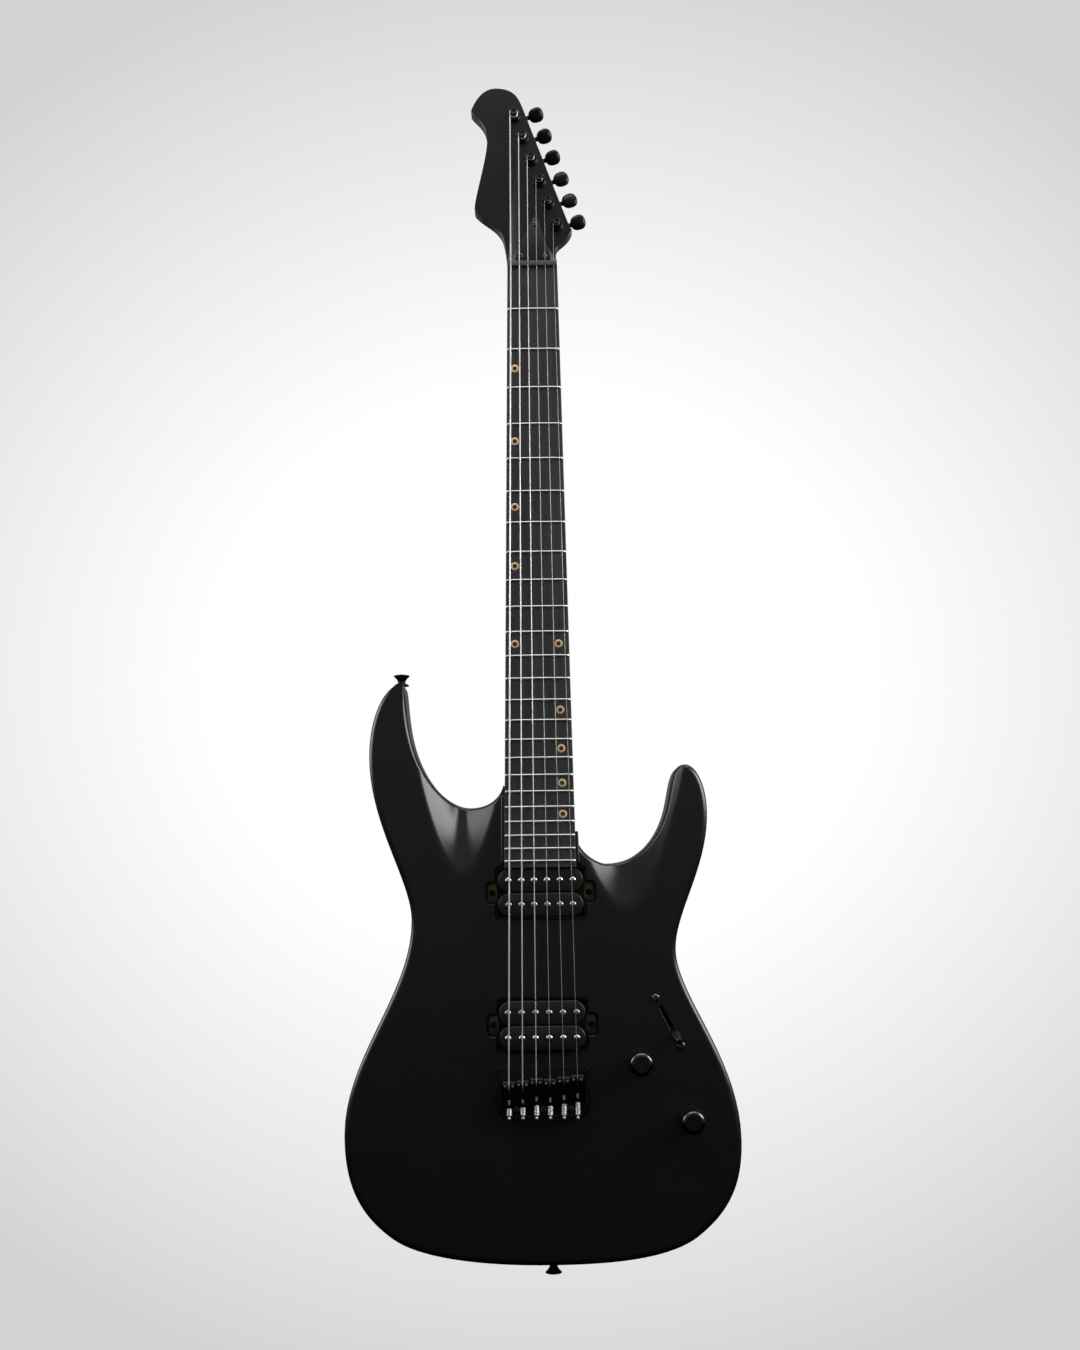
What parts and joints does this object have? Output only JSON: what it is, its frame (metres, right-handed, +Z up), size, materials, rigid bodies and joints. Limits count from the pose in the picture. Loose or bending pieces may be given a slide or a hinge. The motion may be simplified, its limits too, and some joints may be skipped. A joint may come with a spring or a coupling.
{
  "type": "electric guitar",
  "caption": "Electric guitar with a solid body and scooped cutaways, a long bolted neck, in-line tuners along one side of the headstock, open-coil pickups and a fixed bridge.",
  "frame": {"origin": "on the flat back of the body, on the centre line, straight behind the bridge end of the string scale", "axes": "+Z runs up the neck to the headstock, the front of the guitar faces -Y, and +X is the treble side"},
  "size_m": [0.3055, 0.0595, 0.9631],
  "materials": {
    "body_paint": "satin black lacquer over wood",
    "fretboard_wood": "oiled ebony, open grain",
    "nut_material": "dark grey, satin",
    "rod_steel": "plain zinc-plated steel",
    "black_plastic": "matte black",
    "black_metal": "satin black plated metal",
    "pickup_brass": "dull brass",
    "bobbin_plastic": "moulded, matte black",
    "plain_string": "plain drawn steel",
    "wound_string": "nickel-wound steel",
    "bright_steel": "polished"
  },
  "bodies": {
    "body_and_neck": {"body": "body_paint", "neck": "body_paint", "fretboard": "fretboard_wood", "nut": "nut_material", "truss_rod": "rod_steel", "truss_rod_cover": "black_plastic", "neck_plate": "black_metal", "control_cover": "black_plastic", "bridge_plate": "black_metal", "neck_pickup_base": "pickup_brass", "neck_pickup_upper_coil": "bobbin_plastic", "neck_pickup_lower_coil": "bobbin_plastic", "bridge_pickup_base": "pickup_brass", "bridge_pickup_upper_coil": "bobbin_plastic", "bridge_pickup_lower_coil": "bobbin_plastic", "volume_pot": "rod_steel", "tone_pot": "rod_steel", "switch_body": "rod_steel", "output_jack": "black_metal", "strap_button_upper": "black_metal", "strap_button_lower": "black_metal", "string_1": "plain_string", "string_2": "plain_string", "string_3": "plain_string", "string_4": "wound_string", "string_5": "wound_string", "string_6": "wound_string", "tuner_housing_1": "black_metal", "tuner_housing_2": "black_metal", "tuner_housing_3": "black_metal", "tuner_housing_4": "black_metal", "tuner_housing_5": "black_metal", "tuner_housing_6": "black_metal"},
    "tuner_button_1": {"tuner_button_1": "black_metal"},
    "tuner_post_1": {"tuner_post_1": "black_metal"},
    "tuner_button_2": {"tuner_button_2": "black_metal"},
    "tuner_post_2": {"tuner_post_2": "black_metal"},
    "tuner_button_3": {"tuner_button_3": "black_metal"},
    "tuner_post_3": {"tuner_post_3": "black_metal"},
    "tuner_button_4": {"tuner_button_4": "black_metal"},
    "tuner_post_4": {"tuner_post_4": "black_metal"},
    "tuner_button_5": {"tuner_button_5": "black_metal"},
    "tuner_post_5": {"tuner_post_5": "black_metal"},
    "tuner_button_6": {"tuner_button_6": "black_metal"},
    "tuner_post_6": {"tuner_post_6": "black_metal"},
    "intonation_screw_1": {"intonation_screw_1": "bright_steel"},
    "saddle_1": {"saddle_1": "black_metal"},
    "intonation_screw_2": {"intonation_screw_2": "bright_steel"},
    "saddle_2": {"saddle_2": "black_metal"},
    "intonation_screw_3": {"intonation_screw_3": "bright_steel"},
    "saddle_3": {"saddle_3": "black_metal"},
    "intonation_screw_4": {"intonation_screw_4": "bright_steel"},
    "saddle_4": {"saddle_4": "black_metal"},
    "intonation_screw_5": {"intonation_screw_5": "bright_steel"},
    "saddle_5": {"saddle_5": "black_metal"},
    "intonation_screw_6": {"intonation_screw_6": "bright_steel"},
    "saddle_6": {"saddle_6": "black_metal"},
    "volume_knob": {"volume_knob": "black_metal"},
    "tone_knob": {"tone_knob": "black_metal"},
    "switch_lever": {"switch_lever": "black_metal"}
  },
  "joints": [
    {"name": "tuner_button_1_turn", "type": "hinge", "parent": "body_and_neck", "child": "tuner_button_1", "pos_m": [0.01925, -0.022, 0.69111], "axis": [0.9409, 0, 0.3387], "continuous": true},
    {"name": "tuner_post_1_turn", "type": "hinge", "parent": "body_and_neck", "child": "tuner_post_1", "pos_m": [0.0204, -0.022, 0.6879], "axis": [0, 1, 0], "continuous": true},
    {"name": "tuner_button_2_turn", "type": "hinge", "parent": "body_and_neck", "child": "tuner_button_2", "pos_m": [0.01239, -0.022, 0.71051], "axis": [0.9409, 0, 0.3387], "continuous": true},
    {"name": "tuner_post_2_turn", "type": "hinge", "parent": "body_and_neck", "child": "tuner_post_2", "pos_m": [0.01354, -0.022, 0.7073], "axis": [0, 1, 0], "continuous": true},
    {"name": "tuner_button_3_turn", "type": "hinge", "parent": "body_and_neck", "child": "tuner_button_3", "pos_m": [0.00553, -0.022, 0.72991], "axis": [0.9409, 0, 0.3387], "continuous": true},
    {"name": "tuner_post_3_turn", "type": "hinge", "parent": "body_and_neck", "child": "tuner_post_3", "pos_m": [0.00668, -0.022, 0.7267], "axis": [0, 1, 0], "continuous": true},
    {"name": "tuner_button_4_turn", "type": "hinge", "parent": "body_and_neck", "child": "tuner_button_4", "pos_m": [-0.00134, -0.022, 0.74931], "axis": [0.9409, 0, 0.3387], "continuous": true},
    {"name": "tuner_post_4_turn", "type": "hinge", "parent": "body_and_neck", "child": "tuner_post_4", "pos_m": [-0.00018, -0.022, 0.7461], "axis": [0, 1, 0], "continuous": true},
    {"name": "tuner_button_5_turn", "type": "hinge", "parent": "body_and_neck", "child": "tuner_button_5", "pos_m": [-0.00819, -0.022, 0.76871], "axis": [0.9409, 0, 0.3387], "continuous": true},
    {"name": "tuner_post_5_turn", "type": "hinge", "parent": "body_and_neck", "child": "tuner_post_5", "pos_m": [-0.00704, -0.022, 0.7655], "axis": [0, 1, 0], "continuous": true},
    {"name": "tuner_button_6_turn", "type": "hinge", "parent": "body_and_neck", "child": "tuner_button_6", "pos_m": [-0.01506, -0.022, 0.78811], "axis": [0.9409, 0, 0.3387], "continuous": true},
    {"name": "tuner_post_6_turn", "type": "hinge", "parent": "body_and_neck", "child": "tuner_post_6", "pos_m": [-0.0139, -0.022, 0.7849], "axis": [0, 1, 0], "continuous": true},
    {"name": "intonation_screw_1_turn", "type": "hinge", "parent": "body_and_neck", "child": "intonation_screw_1", "pos_m": [0.02625, -0.0486, -0.0345], "axis": [0, 0, 1], "range_deg": [-2170, 2170]},
    {"name": "saddle_1_slide", "type": "slide", "parent": "body_and_neck", "child": "saddle_1", "axis": [0, 0, 1], "range_m": [-0.003, 0.003], "deforming": ["string_1"]},
    {"name": "intonation_screw_2_turn", "type": "hinge", "parent": "body_and_neck", "child": "intonation_screw_2", "pos_m": [0.01575, -0.0486, -0.0345], "axis": [0, 0, 1], "range_deg": [-2170, 2170]},
    {"name": "saddle_2_slide", "type": "slide", "parent": "body_and_neck", "child": "saddle_2", "axis": [0, 0, 1], "range_m": [-0.003, 0.003], "deforming": ["string_2"]},
    {"name": "intonation_screw_3_turn", "type": "hinge", "parent": "body_and_neck", "child": "intonation_screw_3", "pos_m": [0.00525, -0.0486, -0.0345], "axis": [0, 0, 1], "range_deg": [-2170, 2170]},
    {"name": "saddle_3_slide", "type": "slide", "parent": "body_and_neck", "child": "saddle_3", "axis": [0, 0, 1], "range_m": [-0.003, 0.003], "deforming": ["string_3"]},
    {"name": "intonation_screw_4_turn", "type": "hinge", "parent": "body_and_neck", "child": "intonation_screw_4", "pos_m": [-0.00525, -0.0486, -0.0345], "axis": [0, 0, 1], "range_deg": [-2170, 2170]},
    {"name": "saddle_4_slide", "type": "slide", "parent": "body_and_neck", "child": "saddle_4", "axis": [0, 0, 1], "range_m": [-0.003, 0.003], "deforming": ["string_4"]},
    {"name": "intonation_screw_5_turn", "type": "hinge", "parent": "body_and_neck", "child": "intonation_screw_5", "pos_m": [-0.01575, -0.0486, -0.0345], "axis": [0, 0, 1], "range_deg": [-2170, 2170]},
    {"name": "saddle_5_slide", "type": "slide", "parent": "body_and_neck", "child": "saddle_5", "axis": [0, 0, 1], "range_m": [-0.003, 0.003], "deforming": ["string_5"]},
    {"name": "intonation_screw_6_turn", "type": "hinge", "parent": "body_and_neck", "child": "intonation_screw_6", "pos_m": [-0.02625, -0.0486, -0.0345], "axis": [0, 0, 1], "range_deg": [-2170, 2170]},
    {"name": "saddle_6_slide", "type": "slide", "parent": "body_and_neck", "child": "saddle_6", "axis": [0, 0, 1], "range_m": [-0.003, 0.003], "deforming": ["string_6"]},
    {"name": "volume_knob_turn", "type": "hinge", "parent": "body_and_neck", "child": "volume_knob", "pos_m": [0.0752, -0.042, 0.0067], "axis": [0, -1, 0], "range_deg": [-140, 140]},
    {"name": "tone_knob_turn", "type": "hinge", "parent": "body_and_neck", "child": "tone_knob", "pos_m": [0.1137, -0.042, -0.0369], "axis": [0, -1, 0], "range_deg": [-140, 140]},
    {"name": "switch_lever_swing", "type": "hinge", "parent": "body_and_neck", "child": "switch_lever", "pos_m": [0.0976, -0.026, 0.0373], "axis": [0.8886, 0, 0.4587], "range_deg": [-60, 0]}
  ],
  "couplings": [
    {"joint": "tuner_post_1_turn", "follows": "tuner_button_1_turn", "ratio": -0.083333},
    {"joint": "tuner_post_2_turn", "follows": "tuner_button_2_turn", "ratio": -0.083333},
    {"joint": "tuner_post_3_turn", "follows": "tuner_button_3_turn", "ratio": -0.083333},
    {"joint": "tuner_post_4_turn", "follows": "tuner_button_4_turn", "ratio": -0.083333},
    {"joint": "tuner_post_5_turn", "follows": "tuner_button_5_turn", "ratio": -0.083333},
    {"joint": "tuner_post_6_turn", "follows": "tuner_button_6_turn", "ratio": -0.083333},
    {"joint": "intonation_screw_1_turn", "follows": "saddle_1_slide", "rad_per_m": 12566},
    {"joint": "intonation_screw_2_turn", "follows": "saddle_2_slide", "rad_per_m": 12566},
    {"joint": "intonation_screw_3_turn", "follows": "saddle_3_slide", "rad_per_m": 12566},
    {"joint": "intonation_screw_4_turn", "follows": "saddle_4_slide", "rad_per_m": 12566},
    {"joint": "intonation_screw_5_turn", "follows": "saddle_5_slide", "rad_per_m": 12566},
    {"joint": "intonation_screw_6_turn", "follows": "saddle_6_slide", "rad_per_m": 12566}
  ]
}
